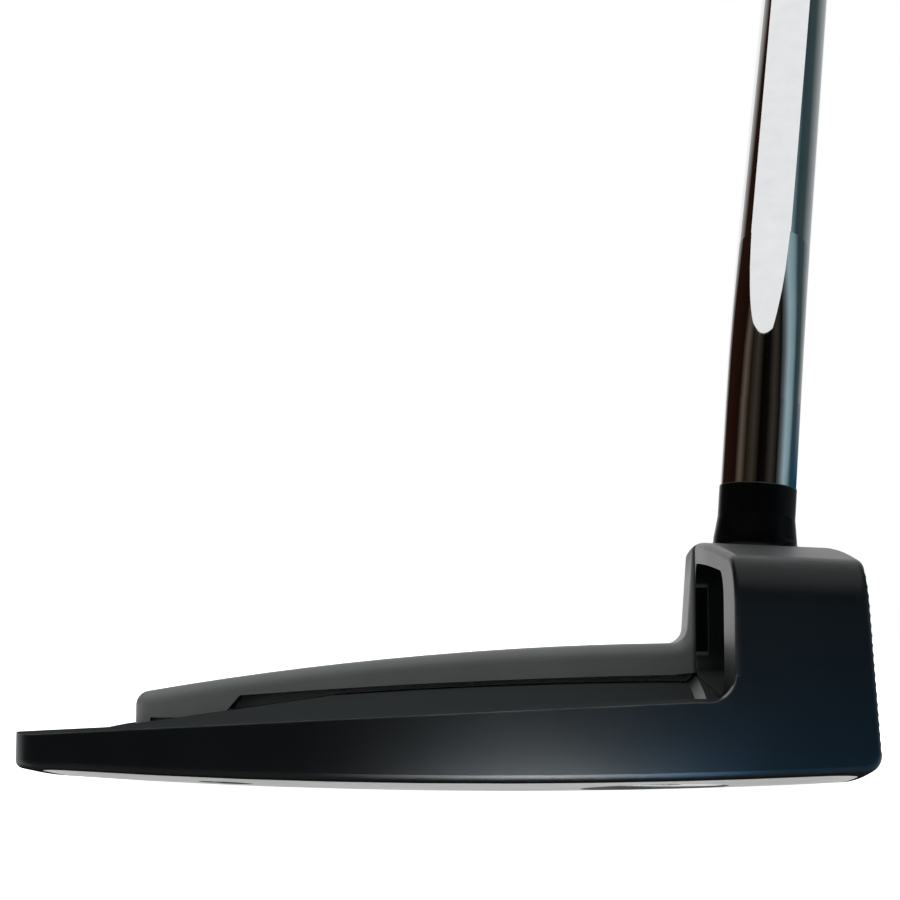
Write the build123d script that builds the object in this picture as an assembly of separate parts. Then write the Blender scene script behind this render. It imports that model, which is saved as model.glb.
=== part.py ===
from build123d import *
from math import cos, hypot, radians, sin, sqrt, tan
import os

# Mallet putter, right-handed, millimetres.
# +X points at the target, +Y from the toe to the heel, +Z up.
# The origin is the middle of the small flat on which the soled head rests.

# ---------------------------------------------------------------- head, overall
HEAD_WIDTH = 103.0
HALF_WIDTH = HEAD_WIDTH / 2
FACE_FOOT_X = 40.05
LOFT_DEG = 3.7
TAIL_X = -45.9
TAIL_CORNER_RADIUS = 3.0
FACE_EDGE_RADIUS = 0.8
LEADING_EDGE_RADIUS = 1.8

# crown: domed from toe to heel, and a little lower at the face than at its rear rim
CROWN_Z = 28.6
CROWN_RADIUS = 400.0
CROWN_FALL = 0.045
SHOULDER_RADIUS = 4.8

# sole camber: a barrel, with a small flat where it rests
SOLE_RADIUS_HEEL_TOE = 390.0
SOLE_RADIUS_FRONT_BACK = 710.0
SOLE_CREST_X = -1.0
LANDING_DEPTH = 0.05

# face block and the hollow behind the face
BLOCK_REAR_CENTRE_X = 23.3
BLOCK_REAR_END_X = 25.7
HUB_HALF_WIDTH = 11.5
POCKET_REAR_X = 20.0
POCKET_FRONT_X = 33.4
POCKET_OUTER_Y = 43.5
POCKET_TOP_Z = 26.15
POCKET_FLOOR_Z = 13.45
POCKET_RADIUS = 3.0
POCKET_DOME_RADIUS = 450.0
FACE_GROOVE_PITCH = 0.95
FACE_GROOVE_RADIUS = 1.2
FACE_GROOVE_DEPTH = 0.11
FIRST_GROOVE_Z = 3.0
FACE_GROOVE_COUNT = 24

# wings and tray, each arc in the side view at the middle of the head, all domed from toe to heel
FLOOR_RADIUS = 400.0
TRAY_RADIUS = 700.0
LIP_WIDTH = 3.5
TRAY_HALF_WIDTH = HALF_WIDTH - LIP_WIDTH
LIP_ARC = ((TAIL_X, 9.70), (-11.0, 11.48), (22.0, 13.08))
FLOOR_ARC = ((TAIL_X, 8.40), (-11.0, 11.45), (22.4, 12.50))
TAIL_RAMP = ((TAIL_X, 7.00), (-20.0, 10.70))
SILL_TOP = (23.3, 13.30)
RIM_FILLET = 2.6
RIM_RADIUS = 0.7

# sole plate, of even thickness under the cambered body
PLATE_THICKNESS = 1.0
PLATE_REAR_X = TAIL_X + 2.2
PLATE_FRONT_X = 37.8
PLATE_HALF_WIDTH = 50.2
PLATE_CORNER_RADIUS = 4.0
PLATE_GAP = 0.05

# alignment rail: a wide head on a narrower keel
RAIL_HALF_WIDTH = HUB_HALF_WIDTH
RAIL_TAIL_X = -42.4
RAIL_TOP_ARC = ((RAIL_TAIL_X, 11.00), (-10.0, 15.27), (22.34, 16.85))
RAIL_UNDER_ARC = ((-29.8, 10.75), (-8.0, 12.15), (20.8, 13.20))
RAIL_STEP_X = -32.0
RAIL_FOOT_REAR_X = -40.4
RAIL_FOOT_Z = 8.15
RAIL_EDGE_RADIUS = 1.6
RAIL_TAIL_RADIUS = 1.75
RAIL_TAIL_FOOT_CHAMFER = 0.8
KEEL_HALF_WIDTH = 8.0
KEEL_FRONT_X = BLOCK_REAR_CENTRE_X
FOOT_KEEL_HALF_WIDTH = 10.4
KEEL_BOTTOM_Z = 6.4
RISER_LEAN = 0.073
RISER_FILLET = 1.9
RISER_CORNER_RADIUS = 1.1
RISER_FRONT_X = 24.8
RISER_GAP = 0.02
SIGHT_LINE_WIDTH = 1.8
SIGHT_LINE_DEPTH = 0.5
SIGHT_LINE_ENDS_X = (-38.0, 18.0)

# neck and shaft
NECK_X = 31.32
NECK_Y = 3.58
NECK_Z = 28.4
NECK_SLOPE = (0.076, 0.10)
NECK_HEIGHT = 7.5
NECK_TOP_RADIUS = 4.75
NECK_FOOT_RADIUS = 5.1
NECK_FLARE_RADIUS = 1.0
NECK_SEAT = 2.0
NECK_TAPER_FROM = 1.0
NECK_TAPER_TO = 3.7
NECK_SHANK_RADIUS = 4.0
NECK_SHANK_DEPTH = 14.0
NECK_POST_LENGTH = 8.8
NECK_POST_CHAMFER = 1.0
BOND_GAP = 0.03
SHAFT_TIP_RADIUS = 4.7
SHAFT_TIP_WALL = 0.9
SHAFT_BUTT_RADIUS = 7.35
SHAFT_BUTT_WALL = 0.5
BEND_RADIUS = 42.0
FIRST_BEND_Z = 57.5
MIDDLE_SLOPE = (0.139, 0.72)
SECOND_BEND_Z = 115.0
LIE_DEG = 70.0
FIRST_STEP_AT = 150.0
STEP_COUNT = 12
STEP_LENGTH = 25.4
STEP_TAPER = 0.6

# grip
GRIP_FROM = 472.0
GRIP_TO = 736.0
CAP_THICKNESS = 5.7
CAP_EDGE_RADIUS = 2.5
CAP_SPIGOT_GAP = 0.05
GRIP_CORNER_SHARE = 0.42
CAP_SPIGOT_LENGTH = 9.0
VENT_RADIUS = 1.75
TAPE_THICKNESS = 0.15
TAPE_FROM = GRIP_FROM + 1.0
SHAFT_BUTT_AT = 734.0
# distance along the shaft, width, depth, middle of the depth towards the palm side
GRIP_SECTIONS = (
    (472.0, 18.6, 18.6, 0.0),
    (500.0, 20.0, 20.0, 0.4),
    (580.0, 22.5, 23.0, 1.4),
    (660.0, 24.0, 25.5, 2.2),
    (712.0, 26.0, 30.0, 3.4),
    (736.0, 26.0, 31.0, 3.6),
)

# sole weights
WEIGHT_X = 18.0
WEIGHT_Y = 38.0
WEIGHT_HEAD_RADIUS = 7.5
WEIGHT_RECESS = 0.35
WEIGHT_CHAMFER = 0.5
WEIGHT_HEAD_TOP = 3.4
WEIGHT_THREAD_RADIUS = 4.95
WEIGHT_THREAD_TOP = 7.0
WEIGHT_KEY_FLATS = 5.0
WEIGHT_KEY_DEPTH = 2.6
PORT_CLEARANCE = 0.15
PORT_ENTRY = 6.0
BUSH_INNER_RADIUS = 5.0
BUSH_OUTER_RADIUS = 6.4
BUSH_FROM = 4.6
PORT_DEPTH = 7.2
ORING_SECTION_RADIUS = 0.58

# fasteners: countersunk sole screws, rail screws, dowels, neck bolt
SOLE_SCREW_RADIUS = 1.5
SOLE_SCREW_HEAD_RADIUS = 2.8
SOLE_SCREW_HEAD_HEIGHT = 1.5
SOLE_SCREW_HEAD_LAND = 0.2
SOLE_SCREW_KEY_FLATS = 2.0
SOLE_SCREW_KEY_DEPTH = 1.1
SOLE_SCREW_RECESS = 0.15
# x, y (used on both sides), height of the screw's inner end
SOLE_SCREW_PLACES = ((30.5, 22.0, 11.4), (-26.0, 41.0, 7.4), (-38.5, 15.0, 6.8))
RAIL_SCREW_RADIUS = 1.25
RAIL_SCREW_HEAD_RADIUS = 2.2
RAIL_SCREW_Y = 6.0
RAIL_SCREW_KEY_FLATS = 2.0
RAIL_SCREW_KEY_SHARE = 0.6
# x, height of the head's underside, height of the head, overall length
FRONT_RAIL_SCREW = (18.0, 4.6, 2.4, 10.2)
REAR_RAIL_SCREW = (-37.0, 2.6, 1.9, 7.4)
DOWEL_RADIUS = 1.25
# x, lower and upper end
DOWEL_PLACES = ((-33.5, 5.5, 10.2), (15.0, 8.0, 14.4))
NECK_BOLT_RADIUS = 2.0
NECK_BOLT_HEAD_RADIUS = 3.5
NECK_BOLT_HEAD_HEIGHT = 3.6
NECK_BOLT_SEAT = 17.4
NECK_BOLT_END = 5.0
NECK_BOLT_KEY_FLATS = 3.0
NECK_BOLT_KEY_DEPTH = 2.0
NECK_DOWEL_RADIUS = 1.0
NECK_DOWEL_X = RISER_FRONT_X + 0.2
NECK_DOWEL_Y = 2.6
NECK_DOWEL_Z = 18.0
NECK_DOWEL_LENGTH = 2.6
DRILL_GAP = 0.02
ACCESS = 8.0

FAR = 70.0
TALL = 40.0
DEEP = -2.0
SWING_DEG = 9.0
TOUCH = 0.01
OVERLAP = 0.5
END_GAP = 0.1
LIE_SLOPE = 1 / tan(radians(LIE_DEG))


# ---------------------------------------------------------------- shared shapes
def slab(x0, x1, y0, y1, z0, z1):
    """A block between two corners."""
    block = Box(x1 - x0, y1 - y0, z1 - z0)
    return Pos((x0 + x1) / 2, (y0 + y1) / 2, (z0 + z1) / 2) * block


def side_profile(sketch, half_width):
    """A shape drawn in the side view, carried the same distance to toe and heel."""
    return extrude(Plane.XZ * sketch, half_width, both=True)


def under_arc(arc, rise=()):
    """Side view of everything below an arc, which runs on level at both ends or up a rise."""
    start, _, end = arc
    front_z = rise[-1][1] if rise else end[1]
    below = [end, *rise, (FAR, front_z), (FAR, DEEP), (-FAR, DEEP), (-FAR, start[1]), start]
    return make_face([ThreePointArc(*arc), Polyline(*below)])


def under_line(start, end):
    """Side view of everything below the straight line through two points."""
    slope = (end[1] - start[1]) / (end[0] - start[0])
    ends = [(x, start[1] + slope * (x - start[0])) for x in (FAR, -FAR)]
    return make_face(Polyline((-FAR, DEEP), (FAR, DEEP), *ends, close=True))


def swung(outline, spin_z):
    """A side view swung about a distant axis, so that it bends evenly to toe and heel."""
    spin = Axis((0, 0, spin_z), (1, 0, 0))
    side = (Plane.XZ * outline).rotate(spin, -SWING_DEG)
    return revolve(side, spin, 2 * SWING_DEG)


def rod(plane, radius, start, end):
    """A round bar on a plane's normal, between two distances from its origin."""
    bar = Cylinder(radius, end - start, align=(Align.CENTER, Align.CENTER, Align.MIN))
    return plane * Pos(0, 0, start) * bar


def turned(plane, points):
    """A solid of revolution about a plane's normal; points are (radius, height)."""
    outline = make_face(Polyline(*points, close=True))
    return plane * revolve(Plane.XZ * outline, Axis.Z)


def key_socket(plane, flats, start, depth):
    """A hexagonal drive socket."""
    return plane * Pos(0, 0, start) * extrude(RegularPolygon(flats / 2, 6, major_radius=False), depth)


def upright(x, y, z=0.0):
    return Plane(origin=(x, y, z), z_dir=(0, 0, 1))


# ---------------------------------------------------------------- head envelope
def sole_barrel():
    """Everything above the cambered sole, cut level at the ground."""
    spin_z = SOLE_RADIUS_HEEL_TOE - LANDING_DEPTH
    rise = SOLE_RADIUS_FRONT_BACK - sqrt(SOLE_RADIUS_FRONT_BACK**2 - FAR**2)
    left = (SOLE_CREST_X - FAR, rise - LANDING_DEPTH)
    right = (SOLE_CREST_X + FAR, rise - LANDING_DEPTH)
    camber = ThreePointArc(left, (SOLE_CREST_X, -LANDING_DEPTH), right)
    top = Polyline(right, (right[0], spin_z), (left[0], spin_z), left)
    return swung(make_face([camber, top]), spin_z) & slab(-FAR, FAR, -FAR, FAR, 0, TALL)


def crown_z(x):
    return CROWN_Z - CROWN_FALL * (x - BLOCK_REAR_CENTRE_X)


def face_x(z):
    return FACE_FOOT_X - tan(radians(LOFT_DEG)) * z


def behind_face():
    """Everything behind the lofted face."""
    corners = [(-FAR, DEEP), (face_x(DEEP), DEEP), (face_x(TALL), TALL), (-FAR, TALL)]
    return side_profile(make_face(Polyline(*corners, close=True)), HALF_WIDTH)


def block_plan():
    """Face block, its rear bowed back a little in the middle."""
    rear_end = BLOCK_REAR_END_X
    rear = ThreePointArc((rear_end, -HALF_WIDTH), (BLOCK_REAR_CENTRE_X, 0), (rear_end, HALF_WIDTH))
    front = Polyline((rear_end, HALF_WIDTH), (FAR, HALF_WIDTH), (FAR, -HALF_WIDTH), (rear_end, -HALF_WIDTH))
    return extrude(make_face([rear, front]), TALL)


def tail_plan():
    """The whole head in plan, with its tail corners rounded."""
    plan = Pos((TAIL_X + FAR) / 2, 0) * Rectangle(FAR - TAIL_X, HEAD_WIDTH)
    corners = plan.vertices().group_by(Axis.X)[0]
    return extrude(fillet(corners, TAIL_CORNER_RADIUS), TALL)


def on_face(edge):
    """True for an edge that lies in the plane of the face."""
    return all(abs((edge @ t).X - face_x((edge @ t).Z)) < TOUCH for t in (0, 0.5, 1))


def face_edges(solid):
    """Edges round the face, the leading edge first."""
    return ShapeList(e for e in solid.edges() if on_face(e)).sort_by(Axis.Z)


def on_shoulder(edge):
    """True for an edge between the crown and the toe or the heel side."""
    spots = [edge @ t for t in (0, 0.5, 1)]
    return all(abs(abs(p.Y) - HALF_WIDTH) < TOUCH and p.Z > CROWN_Z / 2 for p in spots)


def make_hull():
    """The outer skin of the head as one solid: crown, face, sides, tail and cambered sole."""
    crown = under_line((0, crown_z(0)), (FAR, crown_z(FAR)))
    hull = swung(crown, CROWN_Z - CROWN_RADIUS) & behind_face()
    hull = fillet([e for e in hull.edges() if on_shoulder(e)], SHOULDER_RADIUS)
    hull &= tail_plan() & sole_barrel()
    hull = fillet(face_edges(hull)[0], LEADING_EDGE_RADIUS)
    return fillet(face_edges(hull)[1:], FACE_EDGE_RADIUS)


def rim_fillet_bar():
    """The curve that carries the rear rim of the block down into each wing."""
    foot_z = LIP_ARC[2][1] - HALF_WIDTH**2 / (2 * TRAY_RADIUS)
    foot = (BLOCK_REAR_END_X - RIM_FILLET, foot_z)
    top = (BLOCK_REAR_END_X, foot_z + RIM_FILLET)
    bulge = RIM_FILLET * (1 - cos(radians(45)))
    back = BLOCK_REAR_END_X + 1
    curve = ThreePointArc(foot, (top[0] - bulge, foot_z + bulge), top)
    rest = Polyline(top, (back, top[1]), (back, foot_z - 1), (foot[0], foot_z - 1), foot)
    bar = side_profile(make_face([curve, rest]), HALF_WIDTH)
    return bar - slab(-FAR, FAR, -TRAY_HALF_WIDTH, TRAY_HALF_WIDTH, 0, TALL)


def on_rim(edge):
    """True for the edges round the back of the face block, down to the wings."""
    spots = [edge @ t for t in (0, 0.5, 1)]
    behind = all(BLOCK_REAR_CENTRE_X - TOUCH < p.X < BLOCK_REAR_END_X + TOUCH for p in spots)
    return behind and spots[1].Z > LIP_ARC[0][1]


def head_blank(hull):
    """Block, wings and tray floor as one solid, before any pocket."""
    block = hull & block_plan()
    block = fillet([e for e in block.edges() if on_rim(e)], RIM_RADIUS)
    middle_z = FLOOR_ARC[1][1]
    lips = swung(under_arc(LIP_ARC), middle_z - TRAY_RADIUS) + rim_fillet_bar()
    floor = swung(under_arc(FLOOR_ARC, [SILL_TOP]), middle_z - FLOOR_RADIUS)
    floor &= swung(under_line(*TAIL_RAMP), middle_z - TRAY_RADIUS)
    between_lips = slab(-FAR, FAR, -TRAY_HALF_WIDTH, TRAY_HALF_WIDTH, DEEP, TALL)
    return block + (hull & (lips - between_lips)) + (hull & floor & between_lips)


# ---------------------------------------------------------------- head pieces
def pocket(side):
    """The hollow behind the face, on one side of the hub, its top and bottom domed."""
    inner = side * HUB_HALF_WIDTH
    outer = side * POCKET_OUTER_Y
    middle = (inner + outer) / 2
    low = [(y, POCKET_FLOOR_Z - y**2 / (2 * POCKET_DOME_RADIUS)) for y in (inner, middle, outer)]
    high = [(y, POCKET_TOP_Z - y**2 / (2 * POCKET_DOME_RADIUS)) for y in (outer, middle, inner)]
    sides = [Line(low[2], high[0]), Line(high[2], low[0])]
    window = make_face([ThreePointArc(*low), ThreePointArc(*high), *sides])
    window = fillet(window.vertices(), POCKET_RADIUS)
    return extrude(Plane.YZ.offset(POCKET_REAR_X) * window, POCKET_FRONT_X - POCKET_REAR_X)


def plate_zone(gap):
    """The socket that the sole plate fills, everywhere the same depth."""
    length = PLATE_FRONT_X - PLATE_REAR_X
    plan = RectangleRounded(length - 2 * gap, 2 * (PLATE_HALF_WIDTH - gap), PLATE_CORNER_RADIUS)
    middle = (PLATE_FRONT_X + PLATE_REAR_X) / 2
    return extrude(Pos(middle, 0, DEEP) * plan, TALL / 2) - Pos(0, 0, PLATE_THICKNESS - gap) * sole_barrel()


def face_grooves():
    """Shallow milled grooves that run across the whole face."""
    offset = FACE_GROOVE_RADIUS - FACE_GROOVE_DEPTH
    grooves = []
    for i in range(FACE_GROOVE_COUNT):
        z = FIRST_GROOVE_Z + i * FACE_GROOVE_PITCH
        across = Plane(origin=(face_x(z) + offset, -FAR, z), z_dir=(0, 1, 0))
        grooves.append(rod(across, FACE_GROOVE_RADIUS, 0, 2 * FAR))
    return grooves


def riser_zone(gap):
    """The recess in the back of the hub that the riser fills."""
    half = RAIL_HALF_WIDTH + gap
    return slab(-FAR, RISER_FRONT_X + gap, -half, half, POCKET_FLOOR_Z, TALL)


def port_plane(side):
    """Frame of a weight port: its height runs into the head, square to the sole."""
    tilt = side * WEIGHT_Y / SOLE_RADIUS_HEEL_TOE
    place = (WEIGHT_X, side * WEIGHT_Y, sole_z(WEIGHT_X, WEIGHT_Y))
    return Plane(origin=place, x_dir=(1, 0, 0), z_dir=(0, -sin(tilt), cos(tilt)))


def sole_z(x, y):
    """Height of the sole at a place in plan."""
    fore = (x - SOLE_CREST_X) ** 2 / (2 * SOLE_RADIUS_FRONT_BACK)
    return max(0.0, fore + y**2 / (2 * SOLE_RADIUS_HEEL_TOE) - LANDING_DEPTH)


def weight_port(plane):
    head = rod(plane, WEIGHT_HEAD_RADIUS + PORT_CLEARANCE, -PORT_ENTRY, WEIGHT_HEAD_TOP)
    return head + rod(plane, BUSH_OUTER_RADIUS, WEIGHT_HEAD_TOP - OVERLAP, PORT_DEPTH)


def sole_screw_spots():
    """Plane and length of each sole screw; height zero is the face of its head."""
    spots = []
    for x, y, top in SOLE_SCREW_PLACES:
        slope = y / SOLE_RADIUS_HEEL_TOE * SOLE_SCREW_HEAD_RADIUS
        low = sole_z(x, y) + slope + SOLE_SCREW_RECESS
        for side in (-1, 1):
            spots.append((upright(x, side * y, low), top - low))
    return spots


def sole_screw(plane, length, gap, entry):
    """A countersunk screw; the same shape with a gap is its hole."""
    head = SOLE_SCREW_HEAD_RADIUS + gap
    shank = SOLE_SCREW_RADIUS + gap
    outline = [(0, -entry), (head, -entry), (head, SOLE_SCREW_HEAD_LAND), (shank, SOLE_SCREW_HEAD_HEIGHT)]
    return turned(plane, outline + [(shank, length), (0, length)])


def rail_screw(plane, head_height, length, gap, entry):
    """A cap screw that comes up through the body into the rail."""
    head = RAIL_SCREW_HEAD_RADIUS + 2 * gap
    shank = RAIL_SCREW_RADIUS + gap
    return rod(plane, head, -entry, head_height) + rod(plane, shank, head_height - OVERLAP, length)


def rail_screw_planes(kind):
    return [upright(kind[0], side * RAIL_SCREW_Y, kind[1]) for side in (-1, 1)]


def rail_screw_holes(entry):
    holes = []
    for kind in (FRONT_RAIL_SCREW, REAR_RAIL_SCREW):
        for plane in rail_screw_planes(kind):
            holes.append(rail_screw(plane, kind[2], kind[3], DRILL_GAP, entry))
    return holes


def rail_dowels():
    return [rod(upright(x, 0, low), DOWEL_RADIUS, 0, high - low) for x, low, high in DOWEL_PLACES]


NECK_FRAME = Plane(origin=(NECK_X, NECK_Y, NECK_Z), x_dir=(1, 0, 0), z_dir=(*NECK_SLOPE, 1))


def neck_bolt_shape(gap, entry):
    seat = -NECK_BOLT_SEAT
    head = rod(NECK_FRAME, NECK_BOLT_HEAD_RADIUS + 2 * gap, seat - NECK_BOLT_HEAD_HEIGHT - entry, seat)
    return head + rod(NECK_FRAME, NECK_BOLT_RADIUS + gap, seat - OVERLAP, -NECK_BOLT_END + gap)


def neck_dowel_shape(gap):
    along = Plane(origin=(NECK_DOWEL_X, NECK_DOWEL_Y, NECK_DOWEL_Z), z_dir=(1, 0, 0))
    return rod(along, NECK_DOWEL_RADIUS + gap, 0, NECK_DOWEL_LENGTH + gap)


def shank_hole():
    return rod(NECK_FRAME, NECK_SHANK_RADIUS + DRILL_GAP, -NECK_SHANK_DEPTH - DRILL_GAP, ACCESS)


def make_body(blank):
    body = blank - plate_zone(0) - pocket(-1) - pocket(1) - riser_zone(RISER_GAP)
    body -= shank_hole()
    body -= neck_bolt_shape(DRILL_GAP, ACCESS)
    body -= neck_dowel_shape(0)
    for side in (-1, 1):
        body -= weight_port(port_plane(side))
    for plane, length in sole_screw_spots():
        body -= sole_screw(plane, length, DRILL_GAP, ACCESS)
    for hole in rail_screw_holes(ACCESS) + rail_dowels() + face_grooves():
        body -= hole
    return body


def make_sole_plate():
    plate = plate_zone(PLATE_GAP) & sole_barrel()
    for side in (-1, 1):
        plate -= rod(port_plane(side), WEIGHT_HEAD_RADIUS + PORT_CLEARANCE, -PORT_ENTRY, PORT_ENTRY)
    for plane, length in sole_screw_spots():
        plate -= sole_screw(plane, length, DRILL_GAP, ACCESS)
    return plate


def rail_side_view():
    """Side view of the rail: tail, foot, long overhang, and the leaning riser against the hub."""
    tail_top, _, riser_foot = RAIL_TOP_ARC
    under_rear, _, under_front = RAIL_UNDER_ARC
    riser_top = (riser_foot[0] + RISER_LEAN * (TALL - riser_foot[1]), TALL)
    cut = RAIL_TAIL_FOOT_CHAMFER
    front = [riser_foot, riser_top, (RISER_FRONT_X, TALL), (RISER_FRONT_X, POCKET_FLOOR_Z)]
    front += [(BLOCK_REAR_CENTRE_X, POCKET_FLOOR_Z), under_front]
    foot = [under_rear, (RAIL_STEP_X, RAIL_FOOT_Z), (RAIL_FOOT_REAR_X, RAIL_FOOT_Z)]
    foot += [(RAIL_FOOT_REAR_X, KEEL_BOTTOM_Z)]
    tail = [(RAIL_TAIL_X + cut, KEEL_BOTTOM_Z), (RAIL_TAIL_X, KEEL_BOTTOM_Z + cut)]
    arcs = [ThreePointArc(*RAIL_TOP_ARC), ThreePointArc(*RAIL_UNDER_ARC[::-1])]
    view = make_face(arcs + [Polyline(*front), Polyline(*foot, *tail, tail_top)])
    view = fillet(view.vertices().sort_by_distance(tail_top)[0], RAIL_TAIL_RADIUS)
    return fillet(view.vertices().sort_by_distance(riser_foot)[0], RISER_FILLET)


def sight_line_band():
    """The inlaid line, a strip just under the rail's top."""
    lowered = [(x, z - SIGHT_LINE_DEPTH) for x, z in RAIL_TOP_ARC]
    half = SIGHT_LINE_WIDTH / 2
    return slab(*SIGHT_LINE_ENDS_X, -half, half, 0, TALL) - side_profile(under_arc(lowered), FAR)


def on_rail_edge(edge):
    """True for the long edges between the sides of the rail and its tail, top and riser."""
    point = edge @ 0.5
    start, _, end = RAIL_TOP_ARC
    chord = start[1] + (point.X - start[0]) / (end[0] - start[0]) * (end[1] - start[1])
    outer = point.Z > chord - 1 and point.X < (end[0] + RISER_FRONT_X) / 2
    level = abs((edge @ 0).Y - (edge @ 1).Y) < TOUCH
    return outer and level and abs(abs(point.Y) - RAIL_HALF_WIDTH) < TOUCH


def make_rail(blank, hull):
    rail = side_profile(rail_side_view(), RAIL_HALF_WIDTH)
    rail = fillet([e for e in rail.edges() if on_rail_edge(e)], RAIL_EDGE_RADIUS)
    half = KEEL_HALF_WIDTH
    keel = slab(RAIL_STEP_X, KEEL_FRONT_X, -half, half, KEEL_BOTTOM_Z, RAIL_UNDER_ARC[2][1])
    keel &= side_profile(under_arc(RAIL_UNDER_ARC), RAIL_HALF_WIDTH)
    half = FOOT_KEEL_HALF_WIDTH
    foot = slab(RAIL_FOOT_REAR_X - 1, RAIL_STEP_X + 1, -half, half, KEEL_BOTTOM_Z, RAIL_FOOT_Z + 1)
    rail = (rail + keel + foot) & hull
    crest = rail.edges().sort_by_distance((BLOCK_REAR_CENTRE_X, 0, CROWN_Z))[0]
    rail = fillet(crest, RISER_CORNER_RADIUS) - (blank - riser_zone(0))
    for hole in rail_screw_holes(0) + rail_dowels():
        rail -= hole
    return rail


def make_neck(blank):
    """Black steel neck: shank in the hub, foot flared into the crown, and a post inside the shaft."""
    low = [(0, -NECK_SEAT), (NECK_FOOT_RADIUS, -NECK_SEAT), (NECK_FOOT_RADIUS, NECK_TAPER_FROM)]
    high = [(NECK_TOP_RADIUS, NECK_TAPER_TO), (NECK_TOP_RADIUS, NECK_HEIGHT), (0, NECK_HEIGHT)]
    reach = NECK_FOOT_RADIUS + 2 * NECK_FLARE_RADIUS
    crown = blank & rod(NECK_FRAME, reach, -NECK_SEAT, NECK_SEAT)
    joined = crown + turned(NECK_FRAME, low + high)
    flared = fillet([e for e in joined.edges() if on_neck_foot(e)], NECK_FLARE_RADIUS) - blank
    post_radius = SHAFT_TIP_RADIUS - SHAFT_TIP_WALL - BOND_GAP
    post_top = NECK_HEIGHT + NECK_POST_LENGTH
    shank = rod(NECK_FRAME, NECK_SHANK_RADIUS, -NECK_SHANK_DEPTH, OVERLAP)
    post = rod(NECK_FRAME, post_radius, NECK_HEIGHT - OVERLAP, post_top)
    post = chamfer(post.edges().sort_by(Axis.Z)[-1], NECK_POST_CHAMFER)
    return flared + shank + post - neck_bolt_shape(DRILL_GAP, 0) - neck_dowel_shape(DRILL_GAP)


def on_neck_foot(edge):
    """True for the edge between the crown and the neck."""
    spots = [NECK_FRAME.to_local_coords(edge @ t) for t in (0, 0.3, 0.7)]
    near = [abs(p.Z) < NECK_TAPER_FROM - TOUCH for p in spots]
    return all(near) and all(abs(hypot(p.X, p.Y) - NECK_FOOT_RADIUS) < TOUCH for p in spots)


# ---------------------------------------------------------------- shaft and grip
def shaft_points():
    """Corners of the shaft's centre line, before its bends are rounded."""
    neck_end = NECK_FRAME.origin + NECK_FRAME.z_dir * NECK_HEIGHT
    rise = FIRST_BEND_Z - NECK_Z
    first = Vector(NECK_X + NECK_SLOPE[0] * rise, NECK_Y + NECK_SLOPE[1] * rise, FIRST_BEND_Z)
    rise = SECOND_BEND_Z - FIRST_BEND_Z
    second = first + Vector(MIDDLE_SLOPE[0] * rise, MIDDLE_SLOPE[1] * rise, rise)
    return neck_end, first, second


UPPER_DIRECTION = Vector(0, LIE_SLOPE, 1).normalized()
UPPER_FRAME = Plane(origin=shaft_points()[2], x_dir=(1, 0, 0), z_dir=UPPER_DIRECTION)


def lower_shaft(radius):
    """The straight tip, both bends and the first straight of the upper length."""
    tip, first, second = shaft_points()
    end = UPPER_FRAME.origin + UPPER_DIRECTION * FIRST_STEP_AT
    path = FilletPolyline(tip, first, second, end, radius=BEND_RADIUS)
    start = Plane(origin=tip, z_dir=NECK_FRAME.z_dir)
    return sweep(start * Circle(radius), path)


def make_shaft():
    """Stepped chrome tube with two bends."""
    lower = lower_shaft(SHAFT_TIP_RADIUS) - lower_shaft(SHAFT_TIP_RADIUS - SHAFT_TIP_WALL)
    radius_step = (SHAFT_BUTT_RADIUS - SHAFT_TIP_RADIUS) / STEP_COUNT
    wall_step = (SHAFT_TIP_WALL - SHAFT_BUTT_WALL) / STEP_COUNT
    outer = []
    inner = []
    for i in range(STEP_COUNT + 1):
        start = FIRST_STEP_AT + i * STEP_LENGTH
        end = start + STEP_LENGTH if i < STEP_COUNT else SHAFT_BUTT_AT
        radius = SHAFT_TIP_RADIUS + i * radius_step
        bore = radius - SHAFT_TIP_WALL + i * wall_step
        from_here = start + (STEP_TAPER if i else 0)
        outer += [(radius, from_here), (radius, end)]
        inner += [(bore, from_here), (bore, end)]
    upper = turned(UPPER_FRAME, outer + inner[::-1])
    return lower + upper


def grip_section(distance, width, depth, offset):
    """A rounded section whose flat front faces away from the player."""
    corner = GRIP_CORNER_SHARE * min(width, depth)
    plane = UPPER_FRAME.offset(distance)
    return plane * Pos(0, offset) * RectangleRounded(width, depth, corner)


def make_grip():
    skin = loft([grip_section(*section) for section in GRIP_SECTIONS])
    return skin - rod(UPPER_FRAME, SHAFT_BUTT_RADIUS + TAPE_THICKNESS, GRIP_FROM - FAR, GRIP_TO + FAR)


def make_grip_cap():
    """End cap with a spigot in the shaft's mouth and a vent hole through both."""
    _, width, depth, offset = GRIP_SECTIONS[-1]
    disc = extrude(grip_section(GRIP_TO, width, depth, offset), CAP_THICKNESS)
    top = GRIP_TO + CAP_THICKNESS - TOUCH
    rim = [e for e in disc.edges() if UPPER_FRAME.to_local_coords(e @ 0.5).Z > top]
    disc = fillet(rim, CAP_EDGE_RADIUS)
    spigot_radius = SHAFT_BUTT_RADIUS - SHAFT_BUTT_WALL - CAP_SPIGOT_GAP
    spigot = rod(UPPER_FRAME, spigot_radius, SHAFT_BUTT_AT - CAP_SPIGOT_LENGTH, GRIP_TO + OVERLAP)
    return disc + spigot - rod(UPPER_FRAME, VENT_RADIUS, 0, GRIP_TO + FAR)


def make_grip_tape():
    outer = rod(UPPER_FRAME, SHAFT_BUTT_RADIUS + TAPE_THICKNESS, TAPE_FROM, SHAFT_BUTT_AT)
    return outer - rod(UPPER_FRAME, SHAFT_BUTT_RADIUS, TAPE_FROM, SHAFT_BUTT_AT)


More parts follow.
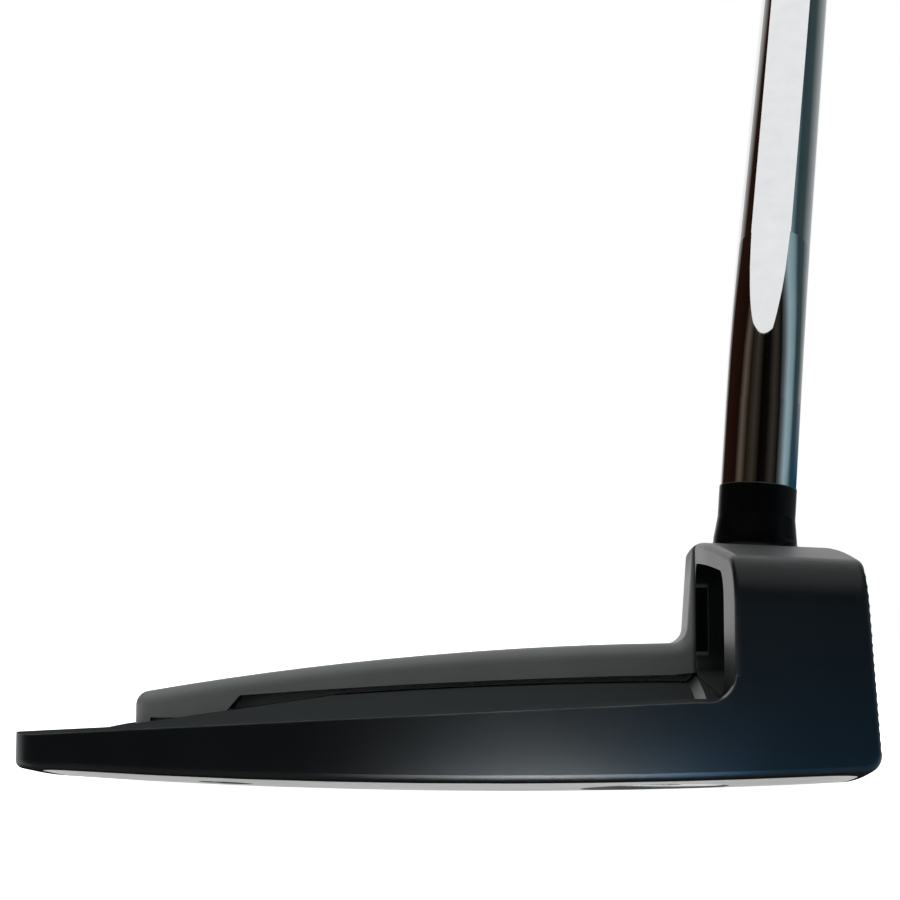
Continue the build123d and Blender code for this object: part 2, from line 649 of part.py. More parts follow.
# ---------------------------------------------------------------- weights, small parts
def make_weight(side):
    plane = port_plane(side)
    weight = rod(plane, WEIGHT_HEAD_RADIUS, WEIGHT_RECESS, WEIGHT_HEAD_TOP)
    rim = [e for e in weight.edges().filter_by(GeomType.CIRCLE) if plane.to_local_coords(e @ 0.5).Z < 1]
    weight = chamfer(rim, WEIGHT_CHAMFER)
    weight += rod(plane, WEIGHT_THREAD_RADIUS, WEIGHT_HEAD_TOP - OVERLAP, WEIGHT_THREAD_TOP)
    return weight - key_socket(plane, WEIGHT_KEY_FLATS, WEIGHT_RECESS - 1, WEIGHT_KEY_DEPTH + 1)


def make_bush(side):
    plane = port_plane(side)
    outer = rod(plane, BUSH_OUTER_RADIUS, BUSH_FROM, PORT_DEPTH)
    return outer - rod(plane, BUSH_INNER_RADIUS, BUSH_FROM - 1, PORT_DEPTH + 1)


def make_oring(side):
    major = (WEIGHT_THREAD_RADIUS + BUSH_OUTER_RADIUS) / 2
    height = (WEIGHT_HEAD_TOP + BUSH_FROM) / 2
    return port_plane(side) * Pos(0, 0, height) * Torus(major, ORING_SECTION_RADIUS)


def make_sole_screws():
    screws = []
    for plane, length in sole_screw_spots():
        screw = sole_screw(plane, length - END_GAP, 0, 0)
        screws.append(screw - key_socket(plane, SOLE_SCREW_KEY_FLATS, -1, 1 + SOLE_SCREW_KEY_DEPTH))
    return screws


def make_rail_screws(kind):
    _, _, head_height, length = kind
    depth = RAIL_SCREW_KEY_SHARE * head_height
    screws = []
    for plane in rail_screw_planes(kind):
        screw = rail_screw(plane, head_height, length - END_GAP, 0, 0)
        screws.append(screw - key_socket(plane, RAIL_SCREW_KEY_FLATS, -1, 1 + depth))
    return screws


def make_neck_bolt():
    bolt = neck_bolt_shape(0, 0)
    low = NECK_BOLT_SEAT + NECK_BOLT_HEAD_HEIGHT
    return bolt - key_socket(NECK_FRAME, NECK_BOLT_KEY_FLATS, -low - 1, 1 + NECK_BOLT_KEY_DEPTH)


def export(name, shape):
    """Write one node; a list is a group of separate solids."""
    solid = Compound(children=list(shape)) if isinstance(shape, list) else shape
    export_step(solid, f"parts/{name}.step")


def main():
    os.makedirs("parts", exist_ok=True)
    hull = make_hull()
    blank = head_blank(hull)
    rail = make_rail(blank, hull)
    pieces = {
        "head_body": make_body(blank),
        "sole_plate": make_sole_plate(),
        "sight_line": rail & sight_line_band(),
        "alignment_rail": rail - sight_line_band(),
        "neck": make_neck(blank),
        "neck_bolt": make_neck_bolt(),
        "neck_dowel": neck_dowel_shape(0),
        "shaft": make_shaft(),
        "grip": make_grip(),
        "grip_cap": make_grip_cap(),
        "grip_tape": make_grip_tape(),
        "sole_screws": make_sole_screws(),
        "rail_screws_front": make_rail_screws(FRONT_RAIL_SCREW),
        "rail_screws_rear": make_rail_screws(REAR_RAIL_SCREW),
        "rail_dowels": rail_dowels(),
    }
    for side, end in ((-1, "toe"), (1, "heel")):
        pieces[f"{end}_weight"] = make_weight(side)
        pieces[f"{end}_weight_bush"] = make_bush(side)
        pieces[f"{end}_weight_oring"] = make_oring(side)
    for name, shape in pieces.items():
        export(name, shape)


main()
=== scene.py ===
import math

import bmesh
import bpy
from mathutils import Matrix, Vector


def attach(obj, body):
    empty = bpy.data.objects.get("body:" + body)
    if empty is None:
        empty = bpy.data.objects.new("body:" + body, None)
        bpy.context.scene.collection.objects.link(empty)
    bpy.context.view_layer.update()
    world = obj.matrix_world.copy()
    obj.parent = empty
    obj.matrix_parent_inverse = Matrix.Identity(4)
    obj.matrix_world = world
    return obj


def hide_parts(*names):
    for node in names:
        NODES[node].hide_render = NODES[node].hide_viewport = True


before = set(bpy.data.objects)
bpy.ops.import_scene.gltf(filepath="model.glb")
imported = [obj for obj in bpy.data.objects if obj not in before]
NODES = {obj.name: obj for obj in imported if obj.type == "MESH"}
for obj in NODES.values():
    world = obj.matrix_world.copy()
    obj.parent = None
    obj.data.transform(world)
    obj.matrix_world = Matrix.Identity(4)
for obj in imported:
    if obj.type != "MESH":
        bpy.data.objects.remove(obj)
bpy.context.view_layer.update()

SCENE = bpy.context.scene
MM = 0.001

# ---------------------------------------------------------------- camera
# The camera stands at the toe, close to the floor, and looks a little up and towards the tail.
CAMERA_PLACE = Vector((13.6, -261.5, 17.2)) * MM
CAMERA_YAW = math.radians(4.27)
CAMERA_PITCH = math.radians(5.07)
CAMERA_LENS = 85.68
SENSOR_WIDTH = 36.0
CLIP_START = 0.01
CLIP_END = 100.0


def make_camera():
    data = bpy.data.cameras.new("camera")
    data.lens = CAMERA_LENS
    data.sensor_width = SENSOR_WIDTH
    data.clip_start = CLIP_START
    data.clip_end = CLIP_END
    camera = bpy.data.objects.new("camera", data)
    SCENE.collection.objects.link(camera)
    ahead = Vector((
        -math.sin(CAMERA_YAW) * math.cos(CAMERA_PITCH),
        math.cos(CAMERA_YAW) * math.cos(CAMERA_PITCH),
        math.sin(CAMERA_PITCH),
    ))
    camera.location = CAMERA_PLACE
    camera.rotation_mode = "QUATERNION"
    camera.rotation_quaternion = ahead.to_track_quat("-Z", "Y")
    SCENE.camera = camera


# ---------------------------------------------------------------- node helpers
TONE_LOW = 0.3
TONE_HIGH = 0.7


def new_tree(owner):
    """An empty node tree on a material or world."""
    owner.use_nodes = True
    tree = owner.node_tree
    tree.nodes.clear()
    return tree


def add(tree, kind, settings=None, **inputs):
    """A node of one kind. Inputs are values or sockets, by name with _ for a space, or by place as i0, i1."""
    made = tree.nodes.new(kind)
    for key, value in (settings or {}).items():
        setattr(made, key, value)
    for key, value in inputs.items():
        by_place = key[0] == "i" and key[1:].isdigit()
        socket = made.inputs[int(key[1:])] if by_place else made.inputs[key.replace("_", " ")]
        if isinstance(value, bpy.types.NodeSocket):
            tree.links.new(value, socket)
        else:
            socket.default_value = value
    return made


def rgb(r, g, b):
    return (r, g, b, 1.0)


def shaded(colour, share):
    """A colour, darker by a share."""
    return rgb(*(c * share for c in colour))


def math_node(tree, operation, a, b=0.0):
    return add(tree, "ShaderNodeMath", {"operation": operation}, i0=a, i1=b).outputs[0]


def vector_math(tree, operation, a, b, output="Vector"):
    return add(tree, "ShaderNodeVectorMath", {"operation": operation}, i0=a, i1=b).outputs[output]


def along(tree, vector, axis):
    """One component of a vector."""
    return add(tree, "ShaderNodeSeparateXYZ", Vector=vector).outputs[axis]


def map_range(tree, value, start, end, low=0.0, high=1.0):
    """A clamped run from low to high, while the value goes from start to end."""
    made = add(tree, "ShaderNodeMapRange", Value=value, From_Min=start, From_Max=end, To_Min=low, To_Max=high)
    return made.outputs[0]


def ramp(tree, factor, stops):
    """A colour ramp; stops are (position, colour or grey)."""
    made = add(tree, "ShaderNodeValToRGB", Fac=factor)
    points = made.color_ramp.elements
    for i, (position, colour) in enumerate(stops):
        point = points[i] if i < 2 else points.new(position)
        point.position = position
        point.color = colour if isinstance(colour, tuple) else rgb(colour, colour, colour)
    return made.outputs["Color"]


def two_tone(tree, factor, low, high):
    """From one colour or grey to another, over the middle of a noise's range."""
    return ramp(tree, factor, [(TONE_LOW, low), (TONE_HIGH, high)])


def mix(tree, factor, a, b):
    """A blend of two colours."""
    return add(tree, "ShaderNodeMix", {"data_type": "RGBA"}, i0=factor, i6=a, i7=b).outputs[2]


def mix_shaders(tree, factor, a, b):
    return add(tree, "ShaderNodeMixShader", i0=factor, i1=a, i2=b).outputs[0]


def place_of(tree):
    return add(tree, "ShaderNodeTexCoord").outputs["Object"]


def noise(tree, vector, scale, detail=2.0, roughness=0.5):
    made = add(tree, "ShaderNodeTexNoise", Vector=vector, Scale=scale, Detail=detail, Roughness=roughness)
    return made.outputs["Fac"]


def bump(tree, height, strength, distance):
    return add(tree, "ShaderNodeBump", Strength=strength, Distance=distance, Height=height).outputs[0]


def principled(tree, **inputs):
    return add(tree, "ShaderNodeBsdfPrincipled", **inputs).outputs[0]


def diffuse(tree, colour):
    return add(tree, "ShaderNodeBsdfDiffuse", Color=colour, Roughness=1.0).outputs[0]


def glow(tree, colour, strength=1.0):
    return add(tree, "ShaderNodeEmission", Color=colour, Strength=strength).outputs[0]


def material_tree(name):
    material = bpy.data.materials.new(name)
    return material, new_tree(material)


def shader_output(tree, shader):
    add(tree, "ShaderNodeOutputMaterial", Surface=shader)


# ---------------------------------------------------------------- floor, light and reflection cards
WORLD_LIGHT = 1.0
FLOOR_SIZE = 60.0
FLOOR_DROP = 0.00002
FLOOR_GREY = 0.8
FLOOR_ROUGHNESS = 0.9

# The flag is a curved dark screen behind the camera. Its angles are in degrees from straight behind the
# camera, the face side positive, with the height of its top or its tint there.
FLAG_RADIUS = 1.6
FLAG_REACH = 155.0
FLAG_STEPS = 48
FLAG_TOP = ((-155.0, 1.7), (-100.0, 1.75), (-60.0, 1.5), (20.0, 1.4), (70.0, 2.0), (155.0, 2.4))
FLAG_TINTS = (
    (-155.0, (0.50, 0.48, 0.46)),
    (-138.0, (0.020, 0.008, 0.005)),
    (-82.0, (0.012, 0.004, 0.003)),
    (-66.0, (0.11, 0.085, 0.065)),
    (-48.0, (0.012, 0.008, 0.005)),
    (-26.0, (0.040, 0.032, 0.024)),
    (-6.0, (0.002, 0.001, 0.001)),
    (14.0, (0.004, 0.003, 0.003)),
    (32.0, (0.036, 0.030, 0.026)),
    (50.0, (0.003, 0.004, 0.003)),
    (62.0, (0.10, 0.12, 0.12)),
    (76.0, (0.30, 0.41, 0.46)),
    (92.0, (0.20, 0.31, 0.33)),
    (104.0, (0.030, 0.055, 0.065)),
    (120.0, (0.045, 0.070, 0.075)),
    (155.0, (0.50, 0.52, 0.52)),
)
FLAG_NAVY = rgb(0.008, 0.050, 0.090)
FLAG_NAVY_TOP = 0.22
FLAG_NAVY_FULL = 0.12
FLAG_NAVY_TURN = (0.05, 0.35)

# The front card lies on the table before the toe: dark, navy towards the face, with one pale patch.
CARD_START_Y = -0.0525
CARD_HALF_SIZE = 3.0
CARD_Z = 0.0005
CARD_TINTS = (rgb(0.010, 0.014, 0.018), rgb(0.014, 0.018, 0.022))
CARD_CLOUD_SCALE = 3.0
CARD_NAVY = rgb(0.05, 0.75, 1.55)
CARD_NAVY_X = (0.010, 0.034)
CARD_NAVY_Y = (-0.12, -0.08)
PATCH_COLOUR = rgb(1.0, 1.03, 1.05)
PATCH_PLACE = (0.006, -0.058, 0.0)
PATCH_SIZE = (0.024, 0.009)
PATCH_POWER = 52.0


def make_world():
    world = bpy.data.worlds.new("studio")
    SCENE.world = world
    tree = new_tree(world)
    sky = add(tree, "ShaderNodeBackground", Color=rgb(1.0, 1.0, 1.0), Strength=WORLD_LIGHT)
    add(tree, "ShaderNodeOutputWorld", Surface=sky.outputs[0])


def stage_mesh(name, corners, faces, material):
    mesh = bpy.data.meshes.new(name)
    mesh.from_pydata(corners, [], faces)
    mesh.materials.append(material)
    made = bpy.data.objects.new(name, mesh)
    SCENE.collection.objects.link(made)
    return made


def make_floor():
    half = FLOOR_SIZE / 2
    low = -FLOOR_DROP
    corners = [(-half, -half, low), (half, -half, low), (half, half, low), (-half, half, low)]
    material, tree = material_tree("pale_floor")
    surface = principled(
        tree, Base_Color=rgb(FLOOR_GREY, FLOOR_GREY, FLOOR_GREY), Roughness=FLOOR_ROUGHNESS,
        Emission_Color=rgb(1.0, 1.0, 1.0), Emission_Strength=1.0,
    )
    shader_output(tree, surface)
    stage_mesh("floor", corners, [(0, 1, 2, 3)], material)


def reflection_only(card):
    """A card that only shows in reflections, as a black flag or tinted paper round a studio table does."""
    card.visible_camera = False
    card.visible_diffuse = False
    card.visible_shadow = False
    card.visible_transmission = False
    card.visible_volume_scatter = False


def between(table, at):
    """The values of a table at a place between its rows; each row starts with its place."""
    for low, high in zip(table, table[1:]):
        if at <= high[0]:
            share = (at - low[0]) / (high[0] - low[0])
            return [a + (b - a) * share for a, b in zip(low[1:], high[1:])]
    return list(table[-1][1:])


def make_flag():
    """The dark screen: brown on the tail side, teal on the face side, black between, navy low down."""
    material, tree = material_tree("flag_paper")
    place = place_of(tree)
    behind = math_node(tree, "MULTIPLY", along(tree, place, "Y"), -1.0)
    turn = math_node(tree, "ARCTAN2", along(tree, place, "X"), behind)
    reach = math.radians(FLAG_REACH)
    across = map_range(tree, turn, -reach, reach)
    stops = [(0.5 + 0.5 * angle / FLAG_REACH, rgb(*colour)) for angle, colour in FLAG_TINTS]
    tint = ramp(tree, across, stops)
    low = map_range(tree, along(tree, place, "Z"), FLAG_NAVY_TOP, FLAG_NAVY_FULL)
    face_side = map_range(tree, turn, *FLAG_NAVY_TURN)
    tint = mix(tree, math_node(tree, "MULTIPLY", low, face_side), tint, FLAG_NAVY)
    shader_output(tree, glow(tree, tint))
    corners = []
    for i in range(FLAG_STEPS + 1):
        angle = FLAG_REACH * (2.0 * i / FLAG_STEPS - 1.0)
        x = FLAG_RADIUS * math.sin(math.radians(angle))
        y = -FLAG_RADIUS * math.cos(math.radians(angle))
        top, = between(FLAG_TOP, angle)
        corners += [(x, y, 0.0), (x, y, top)]
    faces = [(2 * i, 2 * i + 2, 2 * i + 3, 2 * i + 1) for i in range(FLAG_STEPS)]
    reflection_only(stage_mesh("flag", corners, faces, material))


def make_front_card():
    """The dark card on the table, whose pale patch brightens the foot of the toe side."""
    material, tree = material_tree("front_card_paper")
    place = place_of(tree)
    shifted = vector_math(tree, "SUBTRACT", place, PATCH_PLACE)
    scaled = vector_math(tree, "MULTIPLY", shifted, (1 / PATCH_SIZE[0], 1 / PATCH_SIZE[1], 0.0))
    spot = add(tree, "ShaderNodeTexGradient", {"gradient_type": "SPHERICAL"}, Vector=scaled).outputs["Fac"]
    tint = two_tone(tree, noise(tree, place, CARD_CLOUD_SCALE), *CARD_TINTS)
    face_side = map_range(tree, along(tree, place, "X"), *CARD_NAVY_X)
    near_toe = map_range(tree, along(tree, place, "Y"), *CARD_NAVY_Y)
    tint = mix(tree, math_node(tree, "MULTIPLY", face_side, near_toe), tint, CARD_NAVY)
    tint = mix(tree, spot, tint, PATCH_COLOUR)
    power = map_range(tree, spot, 0.0, 1.0, 1.0, PATCH_POWER)
    shader_output(tree, glow(tree, tint, power))
    half = CARD_HALF_SIZE
    near = CARD_START_Y
    corners = [(-half, -half, CARD_Z), (half, -half, CARD_Z), (half, near, CARD_Z), (-half, near, CARD_Z)]
    reflection_only(stage_mesh("front_card", corners, [(0, 1, 2, 3)], material))


# ---------------------------------------------------------------- materials
# rougher finish on the tray floor, the sill and in the hollows; painted shade, near black, in the hollows and
# on the shaded side of the riser
MATT_COLOUR = rgb(0.034, 0.038, 0.038)
MATT_COLOUR_SHARE = 0.7
MATT_HEIGHT = (0.0150, 0.0142)
MATT_FACING_UP = (0.80, 0.90)
PAINTED_SHADE_REACH = 0.012
PAINTED_SHADE_OPENNESS = (0.72, 0.35)
PAINTED_SHADE_COLOUR = rgb(0.003, 0.003, 0.003)
SHADED_RUN = 0.0006
RISER_FOOT_X = 0.0229

# anodised aluminium: bead-blasted grain, faint clouds, and a painted highlight along the edges
GRAIN_SCALE = 9000.0
CLOUD_SCALE = 45.0
EDGE_HIGHLIGHT_SCALE = 260.0
EDGE_HIGHLIGHT_WIDTH = 0.00035
EDGE_HIGHLIGHT_BEND = (0.02, 0.25)
EDGE_HIGHLIGHT_STRENGTH = 0.7
EDGE_HIGHLIGHT_COLOUR = rgb(0.13, 0.135, 0.135)
FINE_DEPTH = 0.00002

# bare metal, turned metal, rubber, paint and tape
MARKS_SHARE = 0.6
METAL_CLOUD_SCALE = 60.0
TURNED_CLOUD_SCALE = 120.0
TURNED_RING_SCALE = 900.0
TURNED_DEPTH = 0.00003
WEIGHT_X = 0.018
WEIGHT_Y = 0.038
PORE_SCALE = 3000.0
PORE_DEPTH = 0.0001
RUBBER_CLOUD_SCALE = 40.0
RUBBER_TINTS = (rgb(0.016, 0.016, 0.017), rgb(0.024, 0.024, 0.025))
RUBBER_ROUGHNESS = (0.50, 0.68)
GRIP_LEAN = math.radians(20.0)
GRIP_CELL = 0.0032
GRIP_CELL_DEPTH = 0.2
COATING_CLOUD_SCALE = 90.0


def edge_mask(tree):
    """White along the edges, from the difference between a rounded and the true normal."""
    rounded = add(tree, "ShaderNodeBevel", {"samples": 6}, Radius=EDGE_HIGHLIGHT_WIDTH).outputs[0]
    normal = add(tree, "ShaderNodeNewGeometry").outputs["Normal"]
    agree = vector_math(tree, "DOT_PRODUCT", rounded, normal, "Value")
    return map_range(tree, math_node(tree, "SUBTRACT", 1.0, agree), *EDGE_HIGHLIGHT_BEND)


def matt_and_shade_masks(tree):
    """White where the finish is rough: the tray floor, the sill and the hollows; and white in the hollows,
    which get painted shade.
    """
    low = map_range(tree, along(tree, place_of(tree), "Z"), *MATT_HEIGHT)
    normal = add(tree, "ShaderNodeNewGeometry").outputs["True Normal"]
    level = map_range(tree, along(tree, normal, "Z"), *MATT_FACING_UP)
    open_air = add(tree, "ShaderNodeAmbientOcclusion", {"samples": 8}, Distance=PAINTED_SHADE_REACH).outputs["AO"]
    painted_shade_mask = map_range(tree, open_air, *PAINTED_SHADE_OPENNESS)
    return math_node(tree, "MAXIMUM", math_node(tree, "MULTIPLY", low, level), painted_shade_mask), painted_shade_mask


def anodised(name, dark, light, roughness, specular, matt_and_shade=0.0, shaded_from=0.0):
    """Bead-blasted and anodised aluminium: fine grain, faint clouds, a painted highlight that makes the edges
    a little paler in patches, and, when asked, a matte tray floor and painted shade.
    """
    material, tree = material_tree(name)
    place = place_of(tree)
    grain = noise(tree, place, GRAIN_SCALE, 2.0, 0.6)
    cloud = noise(tree, place, CLOUD_SCALE, 4.0, 0.55)
    # painted highlight: the edges are mixed towards a paler grey, broken up by noise
    edge_highlight = math_node(tree, "MULTIPLY", edge_mask(tree), noise(tree, place, EDGE_HIGHLIGHT_SCALE, 4.0, 0.6))
    edge_highlight = math_node(tree, "MULTIPLY", edge_highlight, EDGE_HIGHLIGHT_STRENGTH)
    colour = mix(tree, edge_highlight, two_tone(tree, cloud, dark, light), EDGE_HIGHLIGHT_COLOUR)
    surface = principled(
        tree, Base_Color=colour, Roughness=two_tone(tree, cloud, roughness * 0.93, roughness * 1.07),
        Normal=bump(tree, grain, 0.22, FINE_DEPTH), Specular_IOR_Level=specular,
    )
    if matt_and_shade:
        # painted shade: the hollows found by ambient occlusion go near black; the tray floor and the sill get
        # a plain matte tone
        matt_and_shade_mask, painted_shade_mask = matt_and_shade_masks(tree)
        matt_tone_and_painted_shade = mix(tree, painted_shade_mask, mix(tree, MATT_COLOUR_SHARE, colour, MATT_COLOUR), PAINTED_SHADE_COLOUR)
        surface = mix_shaders(tree, math_node(tree, "MULTIPLY", matt_and_shade_mask, matt_and_shade), surface, diffuse(tree, matt_tone_and_painted_shade))
    # painted shade: from shaded_from on along x the surface goes near black, for the shadow on the riser's
    # side inside the pocket
    if shaded_from:
        share = map_range(tree, along(tree, place, "X"), shaded_from, shaded_from + SHADED_RUN)
        surface = mix_shaders(tree, share, surface, diffuse(tree, PAINTED_SHADE_COLOUR))
    shader_output(tree, surface)
    return material


def plain_metal(name, colour, roughness, stretch=(1.0, 1.0, 1.0), scale=400.0):
    """Bare or plated metal with fine marks drawn out along one direction."""
    material, tree = material_tree(name)
    place = place_of(tree)
    marks = noise(tree, vector_math(tree, "MULTIPLY", place, stretch), scale, 3.0, 0.6)
    cloud = noise(tree, place, METAL_CLOUD_SCALE, 3.0, 0.5)
    both = math_node(
        tree, "ADD", math_node(tree, "MULTIPLY", marks, MARKS_SHARE),
        math_node(tree, "MULTIPLY", cloud, 1.0 - MARKS_SHARE),
    )
    surface = principled(
        tree, Base_Color=two_tone(tree, both, shaded(colour, 0.9), rgb(*colour)), Metallic=1.0,
        Roughness=two_tone(tree, both, roughness * 0.8, roughness * 1.25),
        Normal=bump(tree, marks, 0.05, FINE_DEPTH),
    )
    shader_output(tree, surface)
    return material


def rubber(name, cell=0.0):
    """Moulded rubber: fine pores, faint clouds, and a grid of small dimples when a cell size is given."""
    material, tree = material_tree(name)
    place = place_of(tree)
    pores = noise(tree, place, PORE_SCALE)
    cloud = noise(tree, place, RUBBER_CLOUD_SCALE, 3.0, 0.5)
    normal = bump(tree, pores, 0.3, PORE_DEPTH)
    if cell:
        turned = add(tree, "ShaderNodeMapping", Vector=place, Rotation=(GRIP_LEAN, 0.0, 0.0)).outputs[0]
        grid = add(tree, "ShaderNodeTexVoronoi", Vector=turned, Scale=1.0 / cell, Randomness=0.0)
        normal = add(
            tree, "ShaderNodeBump", Strength=0.8, Distance=cell * GRIP_CELL_DEPTH,
            Height=grid.outputs["Distance"], Normal=normal,
        ).outputs[0]
    surface = principled(
        tree, Base_Color=two_tone(tree, cloud, *RUBBER_TINTS),
        Roughness=map_range(tree, pores, 0.0, 1.0, *RUBBER_ROUGHNESS), Normal=normal,
    )
    shader_output(tree, surface)
    return material


def turned_metal(name, colour, roughness, centre):
    """Metal turned on a lathe: fine rings round a centre on the sole."""
    material, tree = material_tree(name)
    place = place_of(tree)
    rings = add(
        tree, "ShaderNodeTexWave", {"wave_type": "RINGS", "rings_direction": "Z"},
        Vector=vector_math(tree, "SUBTRACT", place, centre), Scale=TURNED_RING_SCALE,
        Distortion=0.6, Detail=2.0,
    ).outputs["Fac"]
    cloud = noise(tree, place, TURNED_CLOUD_SCALE, 3.0, 0.5)
    surface = principled(
        tree, Base_Color=ramp(tree, rings, [(0.2, shaded(colour, 0.86)), (0.8, rgb(*colour))]), Metallic=1.0,
        Roughness=two_tone(tree, cloud, roughness * 0.85, roughness * 1.2),
        Normal=bump(tree, rings, 0.12, TURNED_DEPTH),
    )
    shader_output(tree, surface)
    return material


def coating(name, colour, roughness, grain_scale, grain_depth):
    """Paint or paper tape: soft mottling over a fine grain."""
    material, tree = material_tree(name)
    place = place_of(tree)
    grain = noise(tree, place, grain_scale, 3.0, 0.6)
    cloud = noise(tree, place, COATING_CLOUD_SCALE, 3.0, 0.5)
    surface = principled(
        tree, Base_Color=two_tone(tree, cloud, shaded(colour, 0.9), rgb(*colour)),
        Roughness=two_tone(tree, grain, roughness * 0.9, roughness * 1.1),
        Normal=bump(tree, grain, 0.3, grain_depth),
    )
    shader_output(tree, surface)
    return material


def set_material(material, *names):
    for name in names:
        for slot in NODES[name].material_slots:
            slot.material = material


def dress():
    """Give every node its material."""
    body = anodised(
        "body_look", rgb(0.0012, 0.0024, 0.0031), rgb(0.0022, 0.0040, 0.0050),
        roughness=0.38, specular=0.26, matt_and_shade=0.99,
    )
    # painted light: the rail's grey tone stands in for the light its side catches; it is a lit copy of the
    # body's black anodise
    rail = anodised(
        "rail_look", rgb(0.092, 0.102, 0.098), rgb(0.114, 0.126, 0.121),
        roughness=0.42, specular=0.4, shaded_from=RISER_FOOT_X,
    )
    neck = anodised(
        "neck_look", rgb(0.0008, 0.0010, 0.0011), rgb(0.0014, 0.0017, 0.0019),
        roughness=0.30, specular=0.08,
    )
    black_steel = anodised(
        "black_steel_look", rgb(0.010, 0.010, 0.011), rgb(0.016, 0.016, 0.017),
        roughness=0.35, specular=0.5,
    )
    set_material(body, "head_body")
    set_material(rail, "alignment_rail")
    set_material(neck, "neck")
    set_material(black_steel, "neck_bolt", "rail_screws_front", "rail_screws_rear", "sole_screws")
    set_material(plain_metal("chrome_look", (0.80, 0.81, 0.82), 0.035), "shaft")
    set_material(plain_metal("sole_look", (0.115, 0.115, 0.113), 0.34, (1.0, 12.0, 12.0)), "sole_plate")
    pins = plain_metal("steel_look", (0.46, 0.46, 0.45), 0.28, (1.0, 1.0, 8.0), 600.0)
    set_material(pins, "neck_dowel", "rail_dowels")
    for side, end in ((-1, "toe"), (1, "heel")):
        centre = (WEIGHT_X, side * WEIGHT_Y, 0.0)
        weight = turned_metal(f"{end}_weight_look", (0.40, 0.40, 0.395), 0.26, centre)
        bush = turned_metal(f"{end}_bush_look", (0.42, 0.36, 0.24), 0.30, centre)
        set_material(weight, f"{end}_weight")
        set_material(bush, f"{end}_weight_bush")
    set_material(rubber("oring_look"), "toe_weight_oring", "heel_weight_oring", "grip_cap")
    set_material(rubber("grip_look", GRIP_CELL), "grip")
    set_material(coating("sight_line_look", (0.78, 0.78, 0.76), 0.35, 2500.0, FINE_DEPTH), "sight_line")
    set_material(coating("tape_look", (0.72, 0.66, 0.52), 0.75, 700.0, 0.00008), "grip_tape")


# ---------------------------------------------------------------- moulded grip, in millimetres
GRIP_ORIGIN = Vector((41.524, 47.89, 115.0)) * MM
GRIP_AXIS = Vector((0.0, math.sin(GRIP_LEAN), math.cos(GRIP_LEAN)))
GRIP_PALM = Vector((0.0, math.cos(GRIP_LEAN), -math.sin(GRIP_LEAN)))
GRIP_BORE = 7.5
# distance along the shaft, width, depth, middle of the depth towards the palm side
GRIP_SECTIONS = (
    (472.0, 18.6, 18.6, 0.0),
    (500.0, 20.0, 20.0, 0.4),
    (580.0, 22.5, 23.0, 1.4),
    (660.0, 24.0, 25.5, 2.2),
    (712.0, 26.0, 30.0, 3.4),
    (736.0, 26.0, 31.0, 3.6),
)
GRIP_END_GAP = 0.02
GRIP_MOUTH = GRIP_SECTIONS[0][0] + GRIP_END_GAP
GRIP_BUTT = GRIP_SECTIONS[-1][0] - GRIP_END_GAP
GRIP_CORNER_SHARE = 0.42
GRIP_ARC_STEPS = 12
GRIP_FLAT_STEPS = 6
RIB_FROM = 486.0
RIB_TO = 724.0
RIB_PITCH = 4.0
RIB_DEPTH = 0.45
# the ribs start where the section leaves its flat front, and reach full depth a little further round
RIB_START = 0.42
RIB_RISE = 6.0
# step along the grip, share of the full depth
RIB_PROFILE = ((-0.75, 0.0), (-0.45, 0.75), (0.0, 1.0), (0.45, 0.75), (0.75, 0.0))
# step from the mouth, how far the surface is drawn in
MOUTH_PROFILE = ((GRIP_END_GAP, 0.9), (0.15, 0.45), (0.5, 0.15), (1.1, 0.0))
SHARP_ANGLE = math.radians(50)


def grip_outline(width, depth):
    """Points and outward directions round a rounded rectangle, the same count for any size."""
    corner = GRIP_CORNER_SHARE * min(width, depth)
    reach = (width / 2 - corner, depth / 2 - corner)
    corners = [(1, 1), (-1, 1), (-1, -1), (1, -1)]
    outline = []
    for i, (across, up) in enumerate(corners):
        for j in range(GRIP_ARC_STEPS + 1):
            turn = math.radians(90) * (i + j / GRIP_ARC_STEPS)
            way = (math.cos(turn), math.sin(turn))
            outline.append((across * reach[0] + corner * way[0], up * reach[1] + corner * way[1], way))
        x, y, way = outline[-1]
        following = corners[(i + 1) % 4]
        next_x = following[0] * reach[0] + corner * way[0]
        next_y = following[1] * reach[1] + corner * way[1]
        for j in range(1, GRIP_FLAT_STEPS):
            share = j / GRIP_FLAT_STEPS
            outline.append((x + (next_x - x) * share, y + (next_y - y) * share, way))
    return outline


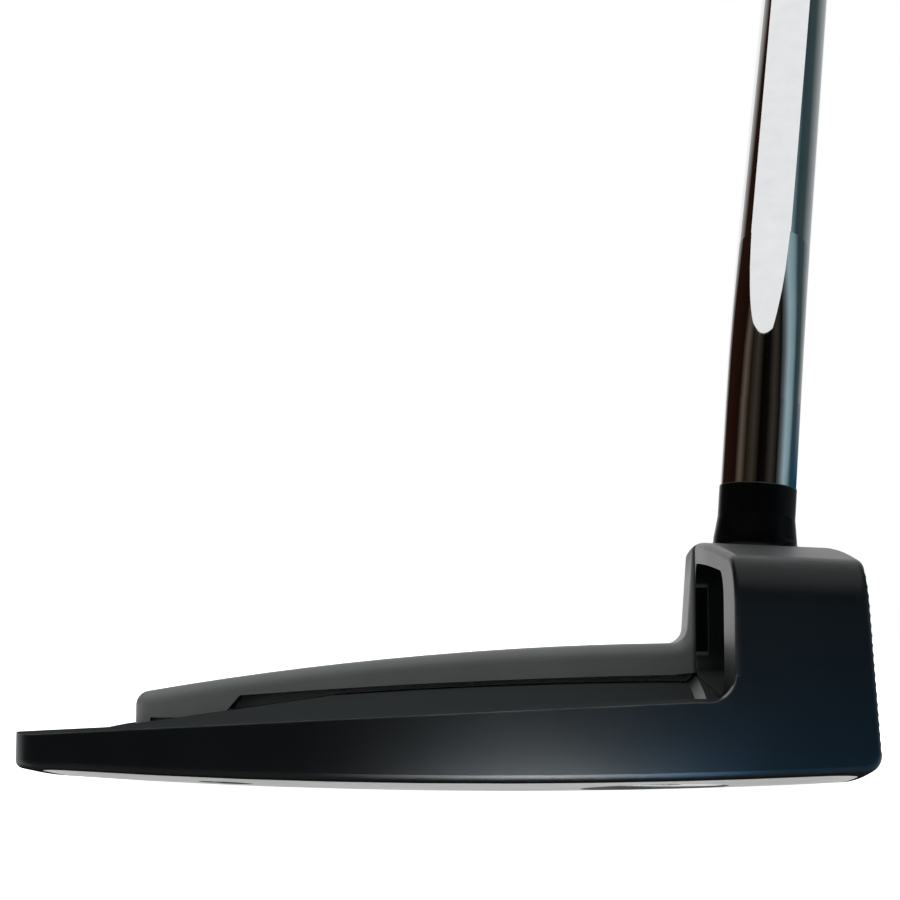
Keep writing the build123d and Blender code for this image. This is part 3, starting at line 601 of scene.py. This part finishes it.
def grip_rings():
    """Rings from mouth to butt: distance along the grip, depth of the rib, how far the whole ring is sunk."""
    rings = [(GRIP_SECTIONS[0][0] + step, 0.0, sunk) for step, sunk in MOUTH_PROFILE]
    count = int((RIB_TO - RIB_FROM) / RIB_PITCH)
    for i in range(count + 1):
        middle = RIB_FROM + i * RIB_PITCH
        rings += [(middle + step, RIB_DEPTH * share, 0.0) for step, share in RIB_PROFILE]
    return rings + [(GRIP_BUTT, 0.0, 0.0)]


def grip_point(distance, across, up):
    place = GRIP_ORIGIN + GRIP_AXIS * distance * MM
    return place + Vector((across * MM, 0.0, 0.0)) + GRIP_PALM * up * MM


def skin_loop(skin, distance, rib, sunk):
    """One ring of the outer surface, drawn in by the rib and by the mouth's rounding."""
    width, depth, offset = between(GRIP_SECTIONS, distance)
    loop = []
    for x, y, way in grip_outline(width, depth):
        share = min(1.0, max(0.0, (y / depth + RIB_START) * RIB_RISE))
        inward = rib * share + sunk
        point = grip_point(distance, x - way[0] * inward, y - way[1] * inward + offset)
        loop.append(skin.verts.new(point))
    return loop


def bore_loop(skin, distance):
    """One ring of the bore, each point on the same radius as its partner on the outer surface."""
    width, depth, _ = between(GRIP_SECTIONS, distance)
    turns = [math.atan2(y, x) for x, y, _ in grip_outline(width, depth)]
    points = [grip_point(distance, GRIP_BORE * math.cos(t), GRIP_BORE * math.sin(t)) for t in turns]
    return [skin.verts.new(point) for point in points]


def make_grip(material):
    """The grip as one closed skin, with fine ribs round the palm side and a plain flat front."""
    skin = bmesh.new()
    loops = [skin_loop(skin, *ring) for ring in grip_rings()]
    loops += [bore_loop(skin, distance) for distance in (GRIP_BUTT, GRIP_MOUTH)]
    count = len(loops[0])
    for here, there in zip(loops, loops[1:] + loops[:1]):
        for i in range(count):
            j = (i + 1) % count
            skin.faces.new((here[i], here[j], there[j], there[i]))
    bmesh.ops.recalc_face_normals(skin, faces=skin.faces)
    mesh = bpy.data.meshes.new("grip_skin")
    skin.to_mesh(mesh)
    skin.free()
    mesh.shade_smooth()
    mesh.set_sharp_from_angle(angle=SHARP_ANGLE)
    mesh.materials.append(material)
    made = bpy.data.objects.new("grip_skin", mesh)
    SCENE.collection.objects.link(made)
    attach(made, "root")
    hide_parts("grip")


# ---------------------------------------------------------------- build
make_camera()
make_world()
make_floor()
make_flag()
make_front_card()
SCENE.view_settings.view_transform = "Standard"
dress()
make_grip(rubber("grip_skin_look", GRIP_CELL))
